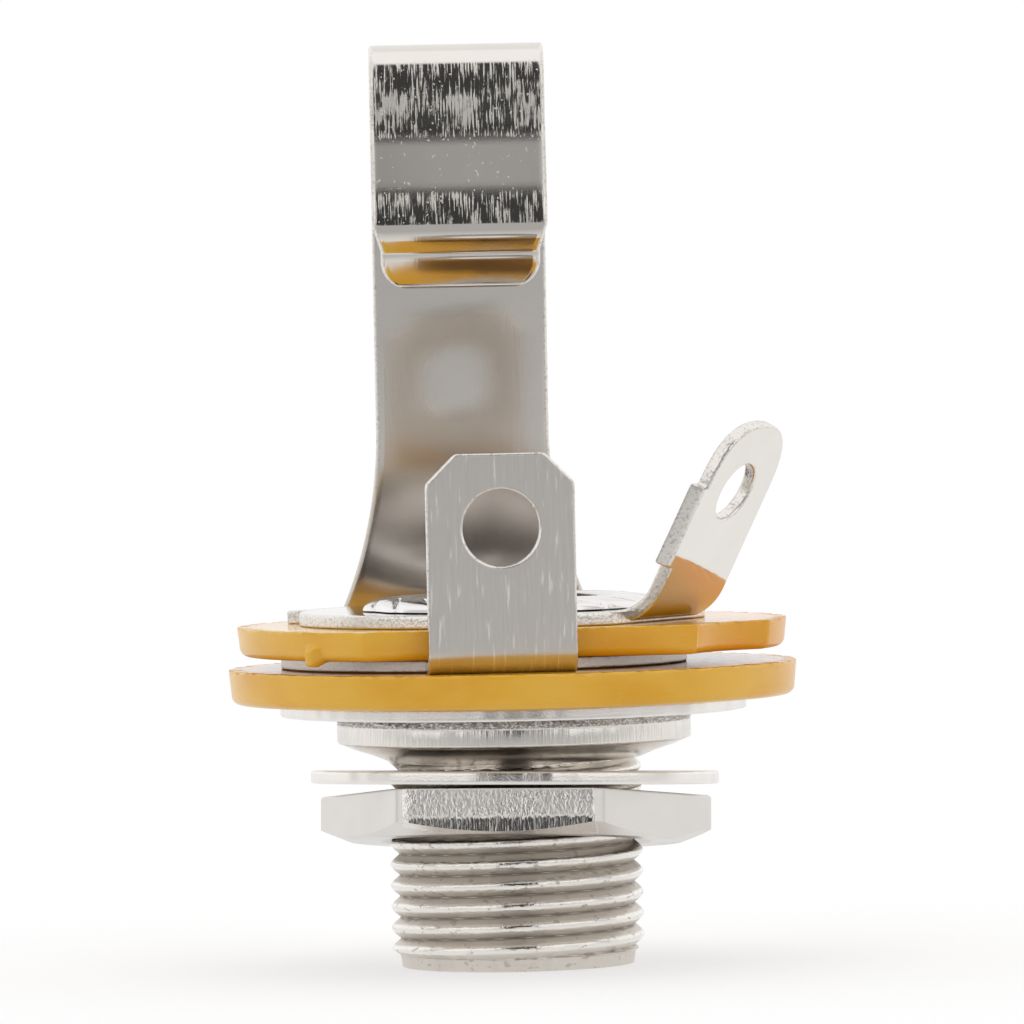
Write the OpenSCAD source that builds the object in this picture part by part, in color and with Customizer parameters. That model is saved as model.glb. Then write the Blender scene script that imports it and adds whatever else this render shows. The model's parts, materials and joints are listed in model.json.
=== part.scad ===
// Quarter inch phone jack, open frame, for a panel hole: a flanged and threaded bushing with its
// nut and washer below, and a riveted stack of insulating boards and spring contacts above.
// The plug enters upwards along +Z. Z = 0 is the foot of the flange's cone, where the panel seats.

/* [Bushing] */
// Major diameter of the panel thread
thread_d = 9.525; // [9:0.005:10.5]
// Pitch of the panel thread
thread_pitch = 0.79375; // [0.5:0.00005:1]
// Length of the thread below the flange
thread_len = 7.75; // [6.5:0.05:12]
// Bore that takes the plug
bore_d = 6.5; // [6.4:0.05:6.8]
// Wall of the plain barrel that passes through the stack
barrel_wall = 0.75; // [0.6:0.05:1]
// Diameter of the flange
flange_d = 13.35; // [12:0.05:15]
// Height of the flange's upright edge
flange_edge_h = 1.08; // [0.8:0.02:1.6]
// Height of the cone under the flange
flange_cone_h = 0.7; // [0.4:0.05:1]
// How far the riveted rim is rolled out past the barrel
rim_roll = 1.55; // [1.2:0.05:2]
// Height of the riveted rim
rim_h = 0.52; // [0.4:0.02:0.8]
// Thickness of the rim's thin outer edge
rim_edge_h = 0.16; // [0.1:0.02:0.3]
// Radius of the rim's rounded mouth
mouth_r = 1.2; // [0.8:0.05:1.5]

/* [Panel nut and washer] */
// Width of the nut across its flats
nut_flats = 13; // [12:0.1:14]
// Height of the nut
nut_h = 1.7; // [1.5:0.05:3]
// Height at which the nut's lower corners are chamfered
nut_chamfer_h = 0.48; // [0.3:0.02:0.9]
// How far the nut's lower face lies inside its flats
nut_face_inset = 0.2; // [0.1:0.05:0.5]
// Depth of the countersink in the nut's lower face
nut_entry = 0.2; // [0.1:0.05:0.4]
// Turn of the nut, seen from above
nut_turned = -5.7; // [-30:0.1:30]
// Outside diameter of the loose washer
washer_d = 15.4; // [14:0.1:17]
// Thickness of the loose washer
washer_h = 0.5; // [0.4:0.05:0.8]
// Gap between the flange's foot and the loose washer
washer_drop = 0.45; // [0.2:0.05:3]
// Gap between the loose washer and the nut's highest corner
nut_gap = 0.05; // [0.02:0.01:0.2]
// Running clearance of the nut around the thread, on the radius
nut_clear = 0.03; // [0.02:0.01:0.1]
// Clearance of the loose washer around the thread, on the radius
washer_clear = 0.14; // [0.05:0.01:0.4]
// Lean of the nut on the thread, its front side up
nut_lean = 6; // [3:0.1:7]
// Lean of the loose washer, its front side up
washer_lean = 2.7; // [0:0.1:3]
// Lean of both to the side, down towards +X
side_lean = 1.2; // [0:0.1:1.5]

/* [Insulating stack] */
// Diameter of the backing washer on the flange
backing_d = 17.6; // [15:0.1:20]
// Thickness of the backing washer
backing_h = 0.5; // [0.3:0.05:0.8]
// Diameter of the upper insulating board
upper_board_d = 20.7; // [19:0.1:22]
// How far the lower insulating board stands out past the upper one
board_step = 0.35; // [0.1:0.05:1]
// Thickness of the lower insulating board
lower_board_h = 1.3; // [1:0.05:1.8]
// Thickness of the upper insulating board
upper_board_h = 1.1; // [0.9:0.05:1.6]
// Wall of the insulating tube around the barrel
tube_wall = 0.4; // [0.3:0.05:0.6]
// Clearance of the stack's holes, on the radius
stack_clear = 0.05; // [0.02:0.01:0.1]
// Direction of the relief in the upper board's edge
relief_azimuth = -35; // [-50:1:-20]
// Depth of that relief
relief_depth = 0.75; // [0.3:0.05:1]
// Radius of that relief
relief_r = 6.3; // [4:0.1:10]

/* [Contact sheet] */
// Thickness of the spring sheet
sheet_h = 0.5; // [0.4:0.05:0.6]
// Outside diameter of both contacts' rings
ring_d = 15.3; // [14.5:0.1:16.5]
// How much thinner and narrower the sheet is at its folds
fold_thin = 0.01; // [0.004:0.002:0.04]
// Clearance kept around moving and live edges of the sheet
sheet_clear = 0.1; // [0.05:0.01:0.2]

/* [Tip contact] */
// Sideways offset of the tip contact from the axis
tip_shift = -1.07; // [-1.2:0.01:1.2]
// Turn of the tip contact, seen from above
tip_turned = 4.7; // [-8:0.1:8]
// How far the lug and the arm stand out from the ring
tip_tab = 1.1; // [0.9:0.05:1.6]
// Inside radius of the folds at the ring
tip_fold_r = 0.35; // [0.3:0.05:0.6]
// Width of the tip's solder lug
tip_lug_w = 5.5; // [4.5:0.1:6.5]
// Height of the lug's top above the sheet
tip_lug_h = 8.1; // [7:0.1:10]
// Corner cut of the lug
tip_lug_corner = 1.1; // [0.5:0.05:1.5]
// Diameter of the lug's eye
tip_eye_d = 2.84; // [2:0.02:3.2]
// Distance of the eye's centre below the lug's top
tip_eye_drop = 2.75; // [2.3:0.05:3.5]

/* [Tip spring] */
// Width of the arm
arm_w = 6.65; // [5:0.05:8]
// Length of the arm's straight blade
arm_len = 21.4; // [20:0.1:24]
// Lean of the arm towards the axis
arm_lean = 9; // [6:0.5:10]
// Turn of the arm against the ring, seen from above
arm_turned = -3.7; // [-4:0.1:4]
// Radius of the arm's flared foot
flare_r = 18; // [15:0.5:25]
// Height of the arm's flared foot
flare_h = 8; // [5:0.5:10]
// Part of the root fold left open for the flexing, in degrees
root_gap = 10; // [9:0.5:14]
// Inside radius of the hook's top fold
hook_fold_r = 1.15; // [0.9:0.05:1.4]
// Straight drop after the top fold
hook_drop = 1.4; // [0.8:0.1:2]
// Inside radius of the set above the knuckle
hook_set_r = 1.2; // [0.8:0.1:2]
// Angle by which the hook leans in above the knuckle
hook_set = 18; // [10:1:25]
// Length of the leaning stretch
hook_slope_len = 2.6; // [2:0.1:3]
// Inside radius of the knuckle
knuckle_r = 0.6; // [0.4:0.05:1]
// Angle through which the knuckle turns
knuckle_turn = 60; // [45:1:70]
// Length of the lip before its crease
lip_len = 0.75; // [0.5:0.05:1.2]
// Inside radius of the lip's crease
crease_r = 0.8; // [0.5:0.1:1.5]
// Angle of the lip's crease
crease = 14; // [5:1:25]
// Width of the lip
lip_w = 6.05; // [4.5:0.05:6.5]
// Length of the lip's rounded tongue
tongue_len = 1.75; // [1.3:0.05:2]
// Corner radius of the tongue
tongue_r = 1.15; // [0.5:0.05:1.25]

/* [Sleeve terminal] */
// Direction of the sleeve's solder lug
sleeve_azimuth = -29; // [-45:1:-15]
// How far inside the ring's edge the lug folds up
sleeve_inset = 1.4; // [0.8:0.05:1.6]
// Width of the notch that frees the lug's fold on each side
sleeve_notch = 0.6; // [0.3:0.05:1]
// Inside radius of the lug's fold
sleeve_fold_r = 0.9; // [0.5:0.05:1.2]
// Rise of the lug above the sheet, in degrees
sleeve_rise = 61.6; // [45:0.1:80]
// Width of the lug's neck and fold
neck_w = 4.8; // [4:0.1:5]
// Length of the neck above the fold
neck_len = 1.5; // [1:0.1:2]
// Width of the lug's paddle
paddle_w = 5.3; // [5:0.1:6]
// Length of the paddle
paddle_len = 3.3; // [2.5:0.1:4]
// Width of the lug's rounded head
head_w = 4.8; // [4:0.1:5]
// Length of the head
head_len = 2.6; // [2.5:0.05:3.5]
// Diameter of the lug's eye
sleeve_eye_d = 2.3; // [1.8:0.05:2.6]
// Distance of the eye's centre below the lug's tip
sleeve_eye_drop = 2.8; // [2.4:0.05:3.4]
// Reach of the small tab opposite the lug
stub_reach = 8.2; // [8:0.05:9]
// Width of that tab
stub_w = 4.4; // [3:0.1:6]

/* [Hidden] */
$fn = 96;
// Overlap that joins a run of sheet to its folds
lap = 0.05;

nickel = "#cdc9c2";
bright_nickel = "#dad7d1";
phenolic = "#d59c40";
fibre = "#8a5a34";

// The profile of a unified thread: 60 degrees between its flanks, cut off by an eighth of the pitch at its
// crest. It is shown as a row of equal grooves.
thread_depth = 0.6134 * thread_pitch;
thread_crest = thread_pitch / 8;
thread_flank = thread_depth * tan(30);
thread_root = thread_pitch - thread_crest - 2 * thread_flank;
thread_turns = floor((thread_len - thread_depth) / thread_pitch);
entry_chamfer = 0.3;
bore_r = bore_d / 2;
thread_r = thread_d / 2;
root_r = thread_r - thread_depth;
barrel_r = bore_r + barrel_wall;
flange_r = flange_d / 2;
rim_r = barrel_r + rim_roll;
stack_hole_r = barrel_r + stack_clear;
tube_r = stack_hole_r + tube_wall;
board_hole_r = tube_r + stack_clear;

// The stack, from the flange upwards
backing_z = flange_cone_h + flange_edge_h;
lower_board_z = backing_z + backing_h;
tip_z = lower_board_z + lower_board_h;
upper_board_z = tip_z + sheet_h;
sleeve_z = upper_board_z + upper_board_h;
rim_z = sleeve_z + sheet_h;

// The loose hardware, from the flange downwards
nut_corner_r = nut_flats / 2 / cos(30);
washer_z = -washer_drop - washer_h;
nut_z = washer_z - nut_gap - nut_corner_r * tan(nut_lean - washer_lean) - nut_h;

ring_r = ring_d / 2;
tip_hole_r = tube_r + abs(tip_shift) + sheet_clear;
tip_reach = ring_r + tip_tab;
tip_fold_at = tip_reach - tip_fold_r;
tip_lug_len = tip_lug_h - sheet_h - tip_fold_r;
flare = flare_r - sqrt(flare_r * flare_r - flare_h * flare_h);
root_w = arm_w + 2 * flare;
board_flat = tip_fold_at - sheet_clear / 2;
lower_board_d = upper_board_d + 2 * board_step;
sleeve_fold_at = ring_r - sleeve_inset;
relief_at = upper_board_d / 2 - relief_depth + relief_r;

// A flat ring standing on its own base
module washer_ring(outer_r, inner_r, height) {
    difference() {
        cylinder(r = outer_r, h = height);
        translate([0, 0, -height]) cylinder(r = inner_r, h = 3 * height);
    }
}

// Sheet cut to a flat outline
module sheet() {
    linear_extrude(sheet_h) children();
}

// A straight run of sheet along +Y, with what follows set at its end
module run(width, length) {
    translate([-width / 2, -lap, 0]) cube([width, length + 2 * lap, sheet_h]);
    translate([0, length, 0]) children();
}

// A fold across +Y, upwards for a positive angle, with what follows set at its end.
// The sheet lies on z = 0, and the fold's first degrees can be left open.
module fold(width, inside_r, angle, open = 0) {
    up = angle > 0;
    centre = up ? sheet_h + inside_r : -inside_r;
    fold_h = sheet_h - fold_thin;
    fold_w = width - fold_thin;
    translate([0, 0, centre]) {
        rotate([up ? open : -open, 0, 0])
            rotate([0, up ? 90 : -90, 0])
                rotate_extrude(angle = abs(angle) - open)
                    translate([inside_r + fold_thin / 2, -fold_w / 2]) square([fold_h, fold_w]);
        rotate([angle, 0, 0]) translate([0, 0, -centre]) children();
    }
}

// The tip contact's own frame: offset and turned, with its arm towards +Y
module tip_frame() {
    translate([tip_shift, 0, tip_z]) rotate(tip_turned) children();
}

// The arm's own frame, at the middle of the fold that it rises from
module arm_frame() {
    tip_frame() translate([0, tip_fold_at, 0]) rotate(arm_turned) children();
}

// A loose piece of this height leaning on the thread, with its middle on the axis
module on_thread(z, height, lean) {
    translate([0, 0, z + height / 2]) rotate([-lean, side_lean, 0]) translate([0, 0, -height / 2]) children();
}

// The hole with which a loose piece of this height clears the thread as it leans
function leaning_hole_r(clear, height, lean) =
    let (whole_lean = acos(cos(lean) * cos(side_lean)))
    (thread_r + clear + height / 2 * sin(whole_lean)) / cos(whole_lean);

// Half section of the bushing, in radius and height, with its mouth rounded over
module bushing_section() {
    top = rim_z + rim_h;
    first_groove = thread_depth + thread_crest - thread_len;
    difference() {
        polygon([
            [bore_r + entry_chamfer, -thread_len],
            [root_r, -thread_len],
            [thread_r, -thread_len + thread_depth],
            for (turn = [0 : thread_turns - 1], z = [first_groove + turn * thread_pitch]) each [
                [thread_r, z],
                [root_r, z + thread_flank],
                [root_r, z + thread_flank + thread_root],
                [thread_r, z + 2 * thread_flank + thread_root]
            ],
            [thread_r, 0],
            [flange_r, flange_cone_h],
            [flange_r, backing_z],
            [barrel_r, backing_z],
            [barrel_r, rim_z],
            [rim_r, rim_z],
            [rim_r, rim_z + rim_edge_h],
            [bore_r + mouth_r, top],
            [bore_r, top],
            [bore_r, -thread_len + entry_chamfer]
        ]);
        difference() {
            translate([0, top - mouth_r]) square([bore_r + mouth_r, 2 * mouth_r]);
            translate([bore_r + mouth_r, top - mouth_r]) circle(mouth_r);
        }
    }
}

module bushing() {
    color(bright_nickel) rotate_extrude() bushing_section();
}

// Hexagon nut, turned to a cone below that leaves its corners at the chamfer's height
module mounting_nut() {
    hole_r = leaning_hole_r(nut_clear, nut_h, nut_lean);
    face_r = nut_flats / 2 - nut_face_inset;
    chamfer_run = (nut_corner_r - face_r) / nut_chamfer_h;
    color(nickel) on_thread(nut_z, nut_h, nut_lean) difference() {
        intersection() {
            rotate(nut_turned) cylinder(r = nut_corner_r, h = nut_h, $fn = 6);
            cylinder(r1 = face_r, r2 = face_r + nut_h * chamfer_run, h = nut_h);
        }
        translate([0, 0, -nut_h]) cylinder(r = hole_r, h = 3 * nut_h);
        translate([0, 0, -nut_entry])
            cylinder(r1 = hole_r + 2 * nut_entry, r2 = hole_r, h = 2 * nut_entry);
    }
}

module mounting_washer() {
    hole_r = leaning_hole_r(washer_clear, washer_h, washer_lean);
    color(nickel) on_thread(washer_z, washer_h, washer_lean) washer_ring(washer_d / 2, hole_r, washer_h);
}

module backing_washer() {
    color(nickel) translate([0, 0, backing_z]) washer_ring(backing_d / 2, stack_hole_r, backing_h);
}

module lower_insulator() {
    color(phenolic) translate([0, 0, lower_board_z])
        washer_ring(lower_board_d / 2, board_hole_r, lower_board_h);
}

module insulating_tube() {
    color(fibre) translate([0, 0, lower_board_z])
        washer_ring(tube_r, stack_hole_r, sleeve_z - lower_board_z);
}

// Round board with a flat beside the tip's lug, one beside its arm, and a relief below the sleeve's lug
module upper_insulator() {
    across = 2 * upper_board_d;
    color(phenolic) difference() {
        intersection() {
            translate([0, 0, upper_board_z])
                washer_ring(upper_board_d / 2, board_hole_r, upper_board_h);
            tip_frame() translate([-across / 2, -board_flat, 0]) cube(across);
            arm_frame() translate([-across / 2, -across - sheet_clear / 2, 0]) cube(across);
        }
        rotate(relief_azimuth) translate([relief_at, 0, 0]) cylinder(r = relief_r, h = 2 * sleeve_z);
    }
}

module tip_lug_outline() {
    difference() {
        polygon([
            [-tip_lug_w / 2, -lap],
            [tip_lug_w / 2, -lap],
            [tip_lug_w / 2, tip_lug_len - tip_lug_corner],
            [tip_lug_w / 2 - tip_lug_corner, tip_lug_len],
            [-tip_lug_w / 2 + tip_lug_corner, tip_lug_len],
            [-tip_lug_w / 2, tip_lug_len - tip_lug_corner]
        ]);
        translate([0, tip_lug_len - tip_eye_drop]) circle(d = tip_eye_d);
    }
}

// The ring between the boards, with its solder lug folded up in front
module tip_terminal() {
    color(nickel) tip_frame() {
        sheet() difference() {
            union() {
                circle(ring_r);
                translate([-tip_lug_w / 2, -tip_fold_at - lap]) square([tip_lug_w, tip_fold_at]);
                translate([0, tip_fold_at]) rotate(arm_turned)
                    translate([-root_w / 2, -tip_fold_at]) square([root_w, tip_fold_at]);
            }
            circle(tip_hole_r);
        }
        rotate(180) translate([0, tip_fold_at, 0])
            fold(tip_lug_w, tip_fold_r, 90) sheet() tip_lug_outline();
    }
}

module arm_outline() {
    translate([-arm_w / 2, 0]) square([arm_w, arm_len + lap]);
    difference() {
        translate([-root_w / 2, -lap]) square([root_w, flare_h]);
        for (side = [-1, 1])
            translate([side * (arm_w / 2 + flare_r), flare_h]) circle(flare_r);
    }
}

module lip_outline() {
    polygon([
        [-arm_w / 2, -lap],
        [arm_w / 2, -lap],
        [lip_w / 2, lip_len + lap],
        [-lip_w / 2, lip_len + lap]
    ]);
}

module tongue_outline() {
    translate([-lip_w / 2, -lap]) square([lip_w, tongue_len - tongue_r + lap]);
    translate([tongue_r - lip_w / 2, 0]) square([lip_w - 2 * tongue_r, tongue_len]);
    for (side = [-1, 1])
        translate([side * (lip_w / 2 - tongue_r), tongue_len - tongue_r]) circle(tongue_r);
}

// The arm that rises from the back of the ring, with the hook that grips the plug's tip
module tip_spring() {
    color(nickel) arm_frame()
        fold(root_w, tip_fold_r, 90 + arm_lean, root_gap) {
            sheet() arm_outline();
            translate([0, arm_len, 0])
                fold(arm_w, hook_fold_r, 180 - arm_lean)
                    run(arm_w, hook_drop)
                        fold(arm_w, hook_set_r, -hook_set)
                            run(arm_w, hook_slope_len)
                                fold(arm_w, knuckle_r, knuckle_turn) {
                                    sheet() lip_outline();
                                    translate([0, lip_len, 0])
                                        fold(lip_w, crease_r, -crease)
                                            sheet() tongue_outline();
                                }
        }
}

// Neck, paddle and rounded head of the sleeve's lug, from the fold outwards
module sleeve_lug_outline() {
    head_y = neck_len + paddle_len;
    lug_len = head_y + head_len;
    difference() {
        union() {
            translate([-neck_w / 2, -lap]) square([neck_w, head_y]);
            translate([-paddle_w / 2, neck_len]) square([paddle_w, paddle_len]);
            translate([-head_w / 2, neck_len]) square([head_w, lug_len - head_w / 2 - neck_len]);
            intersection() {
                translate([0, lug_len - head_w / 2]) circle(d = head_w);
                translate([-head_w / 2, neck_len]) square([head_w, lug_len]);
            }
        }
        translate([0, lug_len - sleeve_eye_drop]) circle(d = sleeve_eye_d);
    }
}

// The ring under the rivet's rim, with its solder lug and a small tab opposite
module sleeve_terminal() {
    color(nickel) translate([0, 0, sleeve_z]) rotate(sleeve_azimuth - 90) {
        sheet() difference() {
            union() {
                difference() {
                    circle(ring_r);
                    translate([-neck_w / 2 - sleeve_notch, sleeve_fold_at + lap])
                        square([neck_w + 2 * sleeve_notch, ring_d]);
                }
                translate([-stub_w / 2, -stub_reach]) square([stub_w, stub_reach]);
            }
            circle(stack_hole_r);
        }
        translate([0, sleeve_fold_at, 0])
            fold(neck_w, sleeve_fold_r, sleeve_rise) sheet() sleeve_lug_outline();
    }
}

bushing();
mounting_nut();
mounting_washer();
backing_washer();
lower_insulator();
insulating_tube();
tip_terminal();
tip_spring();
upper_insulator();
sleeve_terminal();
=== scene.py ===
"""A quarter inch phone jack with an open frame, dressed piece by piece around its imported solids.

Sizes inside a section are millimetres, and the jack's axis is Z.
"""

import json
from math import cos, pi, radians, sin, tan

import bmesh
import bpy
import numpy as np
from mathutils import Matrix, Vector


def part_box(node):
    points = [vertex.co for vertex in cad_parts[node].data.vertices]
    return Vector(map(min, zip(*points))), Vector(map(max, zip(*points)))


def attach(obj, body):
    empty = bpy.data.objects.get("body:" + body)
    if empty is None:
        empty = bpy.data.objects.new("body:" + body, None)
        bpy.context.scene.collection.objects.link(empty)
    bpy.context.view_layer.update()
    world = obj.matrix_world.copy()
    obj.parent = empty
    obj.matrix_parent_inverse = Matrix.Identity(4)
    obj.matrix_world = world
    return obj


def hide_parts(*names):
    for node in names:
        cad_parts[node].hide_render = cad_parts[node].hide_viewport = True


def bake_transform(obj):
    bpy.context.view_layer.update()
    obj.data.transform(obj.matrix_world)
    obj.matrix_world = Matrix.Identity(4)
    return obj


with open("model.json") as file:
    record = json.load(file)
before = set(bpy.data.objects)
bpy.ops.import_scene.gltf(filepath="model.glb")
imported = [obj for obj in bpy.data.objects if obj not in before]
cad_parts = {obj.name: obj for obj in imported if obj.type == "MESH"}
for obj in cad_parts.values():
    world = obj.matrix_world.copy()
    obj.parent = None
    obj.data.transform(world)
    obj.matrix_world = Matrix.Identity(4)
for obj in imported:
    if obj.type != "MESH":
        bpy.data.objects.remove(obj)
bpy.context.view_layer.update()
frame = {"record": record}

MM = 0.001

# Bushing
# One turned piece of nickel plated brass: a threaded barrel that goes through the panel, a coned flange that
# seats on it, and a plain barrel whose end is rolled out over the stack and creases as it is riveted.


class Field:
    """A value that varies over a surface: one output of a material's nodes. Arithmetic on fields adds
    Math nodes, and node() adds a node of any other type."""

    def __init__(self, tree, socket):
        self.tree = tree
        self.socket = socket

    def node(self, kind, settings, inputs, output=0):
        """Add a node, set its settings, then fill or link its inputs by name or by number."""
        made = self.tree.nodes.new(kind)
        for name, value in settings.items():
            setattr(made, name, value)
        for name, value in inputs.items():
            if isinstance(value, Field):
                self.tree.links.new(value.socket, made.inputs[name])
            else:
                made.inputs[name].default_value = value
        return Field(self.tree, made.outputs[output]) if made.outputs else None

    def maths(self, operation, *values):
        return self.node("ShaderNodeMath", {"operation": operation}, dict(enumerate(values)))

    def __add__(self, other):
        return self.maths("ADD", self, other)

    def __sub__(self, other):
        return self.maths("SUBTRACT", self, other)

    def __rsub__(self, other):
        return self.maths("SUBTRACT", other, self)

    def __mul__(self, other):
        return self.maths("MULTIPLY", self, other)

    def __abs__(self):
        return self.maths("ABSOLUTE", self)

    __radd__ = __add__
    __rmul__ = __mul__

    def parts(self):
        """The three components of a vector."""
        split = self.node("ShaderNodeSeparateXYZ", {}, {"Vector": self})
        outputs = split.socket.node.outputs
        return [Field(self.tree, outputs[axis]) for axis in ("X", "Y", "Z")]

    def band(self, low, high):
        """Rises smoothly from 0 at low to 1 at high, or falls if low is the larger."""
        inputs = {"Value": self, "From Min": min(low, high), "From Max": max(low, high),
                  "To Min": float(low > high), "To Max": float(low < high)}
        return self.node("ShaderNodeMapRange", {"interpolation_type": "SMOOTHSTEP"}, inputs)

    def speckle(self, per_mm, detail=2.0):
        """Noise with this many spots per millimetre along each axis of a vector in metres."""
        stretch = tuple(count / MM for count in per_mm)
        drawn = self.node("ShaderNodeVectorMath", {"operation": "MULTIPLY"}, {0: self, 1: stretch})
        return drawn.node("ShaderNodeTexNoise", {}, {"Vector": drawn, "Scale": 1.0, "Detail": detail})

    def blend(self, first, second):
        """A colour between two, by this field as the share of the second."""
        first, second = (c if isinstance(c, Field) else (*c, 1) for c in (first, second))
        return self.node("ShaderNodeMix", {"data_type": "RGBA"}, {0: self, 6: first, 7: second}, output=2)


def start_finish(name):
    """A new material and the place on the surface that its patterns are drawn from."""
    material = bpy.data.materials.new(name)
    material.use_nodes = True
    material.node_tree.nodes.clear()
    place = material.node_tree.nodes.new("ShaderNodeTexCoord")
    return material, Field(material.node_tree, place.outputs["Object"])


def end_finish(place, colour, metallic, roughness, height, depth, **constants):
    """The shader of a finish: height, from 0 to 1, is a relief of this depth in millimetres."""
    relief = place.node("ShaderNodeBump", {}, {"Height": height, "Distance": depth * MM, "Strength": 1.0})
    inputs = {"Base Color": colour, "Metallic": metallic, "Roughness": roughness, "Normal": relief}
    surface = place.node("ShaderNodeBsdfPrincipled", {}, {**inputs, **constants})
    place.node("ShaderNodeOutputMaterial", {}, {"Surface": surface})


def add_piece(name, material, grids, sheets=(), closed_ends=True, sharp=32):
    """One object from grids of points, each rows x columns x 3. Quads join a point to the next row and the
    next column, and both directions close on themselves, except the last grid's columns where its ends are
    drawn to an edge. The sign of the volume that they enclose turns the quads outwards. Sheets give each
    point's place on the flat stock, across, along and 1 on a cut edge."""
    same_place = 1e-4 * MM
    points, quads = [], []
    count = 0
    for number, grid in enumerate(grids):
        rows, columns = grid.shape[:2]
        open_ends = not closed_ends and number == len(grids) - 1
        row, column = np.meshgrid(np.arange(rows), np.arange(columns - open_ends), indexing="ij")
        next_row = (row + 1) % rows
        next_column = (column + 1) % columns
        corners = [row * columns + column, row * columns + next_column,
                   next_row * columns + next_column, next_row * columns + column]
        faces = np.stack(corners, axis=-1).reshape(-1, 4)
        flat = grid.reshape(-1, 3)
        a, b, c, d = (flat[faces[:, k]] for k in range(4))
        volume = (a * np.cross(b, c)).sum() + (a * np.cross(c, d)).sum()
        points.append(flat)
        quads.append((faces if volume > 0 else faces[:, ::-1]) + count)
        count += len(flat)
    points = np.concatenate(points) * MM
    quads = np.concatenate(quads)
    mesh = bpy.data.meshes.new(name)
    mesh.vertices.add(len(points))
    mesh.vertices.foreach_set("co", points.ravel())
    mesh.loops.add(quads.size)
    mesh.loops.foreach_set("vertex_index", quads.ravel())
    mesh.polygons.add(len(quads))
    mesh.polygons.foreach_set("loop_start", np.arange(0, quads.size, 4))
    mesh.update(calc_edges=True)
    if sheets:
        flats = np.concatenate([sheet.reshape(-1, 3) for sheet in sheets]) * MM
        mesh.attributes.new("sheet", "FLOAT_VECTOR", "POINT").data.foreach_set("vector", flats.ravel())
    work = bmesh.new()
    work.from_mesh(mesh)
    bmesh.ops.remove_doubles(work, verts=work.verts, dist=same_place)
    work.to_mesh(mesh)
    work.free()
    mesh.polygons.foreach_set("use_smooth", np.ones(len(mesh.polygons), bool))
    mesh.set_sharp_from_angle(angle=radians(sharp))
    mesh.materials.append(material)
    piece = bpy.data.objects.new(name, mesh)
    bpy.context.scene.collection.objects.link(piece)
    return piece


def waves(angle, seed, first, last, fade=0.0):
    """A closed random wave round the axis: cosines of all whole frequencies from first to last, with random
    phases, falling off as the frequency to the power of -fade, scaled to a mean square of 1."""
    draw = np.random.default_rng(seed)
    frequency = np.arange(first, last + 1)
    strength = frequency ** -fade
    phase = draw.uniform(0, 2 * pi, len(frequency))
    total = (strength * np.cos(angle[..., None] * frequency + phase)).sum(-1)
    return total / np.sqrt((strength ** 2).sum() / 2)


bushing_low, bushing_high = (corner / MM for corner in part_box("bushing"))
thread_r = 9.525 / 2
thread_pitch = 0.79375
thread_depth = 0.36
thread_turned = radians(150)
crest_flat = 0.06
lead_h = 0.45
lead_r = thread_r - thread_depth - 0.05
lead_taper = 0.15
lead_slope = 1.3
nick_depth = 0.012
bore_r = 3.25
bore_chamfer = 0.3
bore_rows = (3.5, 0.0, -4.0)
barrel_r = 4.0
barrel_mid = 3.5
flange_r = bushing_high.x
flange_round = 0.12
flange_z = 1.78
cone_h = 0.7
cone_r = (thread_r + 0.02, 5.4, 6.1, flange_r - 0.2)
cone_z = (0.03, 0.28, 0.5, cone_h - 0.03)
tear_h = 0.4
tear_depth = 0.09
tear_rough = 0.045
rim_z = 5.68
rim_r = 5.55
rim_lift = 0.02
rim_wave = 0.06
rim_notch = 0.1
split_w = radians(1.5)
split_slant = 0.35
split_depth = 0.18
petal_slope = 0.12
mouth_r = 1.2

turn = np.linspace(0, 2 * pi, 320, endpoint=False)


def thread_radius(z, angle):
    """Radius of the thread: a crest line climbs one pitch a turn, and past the crest's narrow flat the
    radius falls to the root along t^1.25, which rounds the crest a little and leaves the root sharp."""
    from_crest = np.abs((z / thread_pitch - (angle - thread_turned) / (2 * pi) + 0.5) % 1 - 0.5)
    share = np.clip((from_crest - crest_flat) / (0.5 - crest_flat), 0, 1)
    return thread_r - thread_depth * share ** 1.25


foot_z = bushing_low.z
thread_z = np.linspace(foot_z, 0, 240)[:, None]
above_foot = thread_z - foot_z
lead = lead_r + lead_taper * above_foot + lead_slope * np.maximum(above_foot - lead_h, 0)
nicks = nick_depth * waves(turn, 3, 20, 90)
thread = np.minimum(thread_radius(thread_z, turn), lead + nicks)

edge_turn = np.linspace(-pi / 2, 0, 6)[:, None]
edge_z = cone_h + flange_round * (1 + np.sin(edge_turn))
edge_r = flange_r - flange_round * (1 - np.cos(edge_turn))
tear_z = np.linspace(flange_z - tear_h - 0.02, flange_z, 12)[:, None]
tear_in = np.clip((tear_z - flange_z + tear_h) / tear_h, 0, 1)
tear_wave = waves(turn, 11, 12, 110, 0.3) + waves(turn[None, :] + 1.7 * tear_z, 12, 30, 140)
tear_r = flange_r - tear_in * (tear_depth + tear_rough * tear_wave)

split_at = np.radians([-162, -139, -116, -92, -66, -49, -24, 8, 41, 77, 109, 146, 171])
rim_share = np.linspace(0, 1, 24)[:, None]
from_split = (turn[:, None] + split_slant * rim_share[:, :, None] - split_at + pi) % (2 * pi) - pi
petal = np.where(from_split > 0, from_split, 2 * pi).min(axis=2)
splits = np.exp(-(from_split / split_w) ** 2).max(axis=2)
rim_edge_r = rim_r + 0.05 + rim_wave * waves(turn, 21, 3, 20, 0.8) - rim_notch * splits[0]
rim_top = bushing_high.z - 0.03
rim_rise = rim_z + rim_lift + (rim_top - rim_z - rim_lift) * np.sin(rim_share * pi / 2) ** 0.5
rim_fold = (split_depth * splits + petal_slope * petal) * np.sin(rim_share * pi) ** 0.7 - rim_lift
rim_across = rim_edge_r + (bore_r + mouth_r - rim_edge_r) * rim_share
mouth_turn = np.linspace(0, pi / 2, 12)[1:, None]
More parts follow.
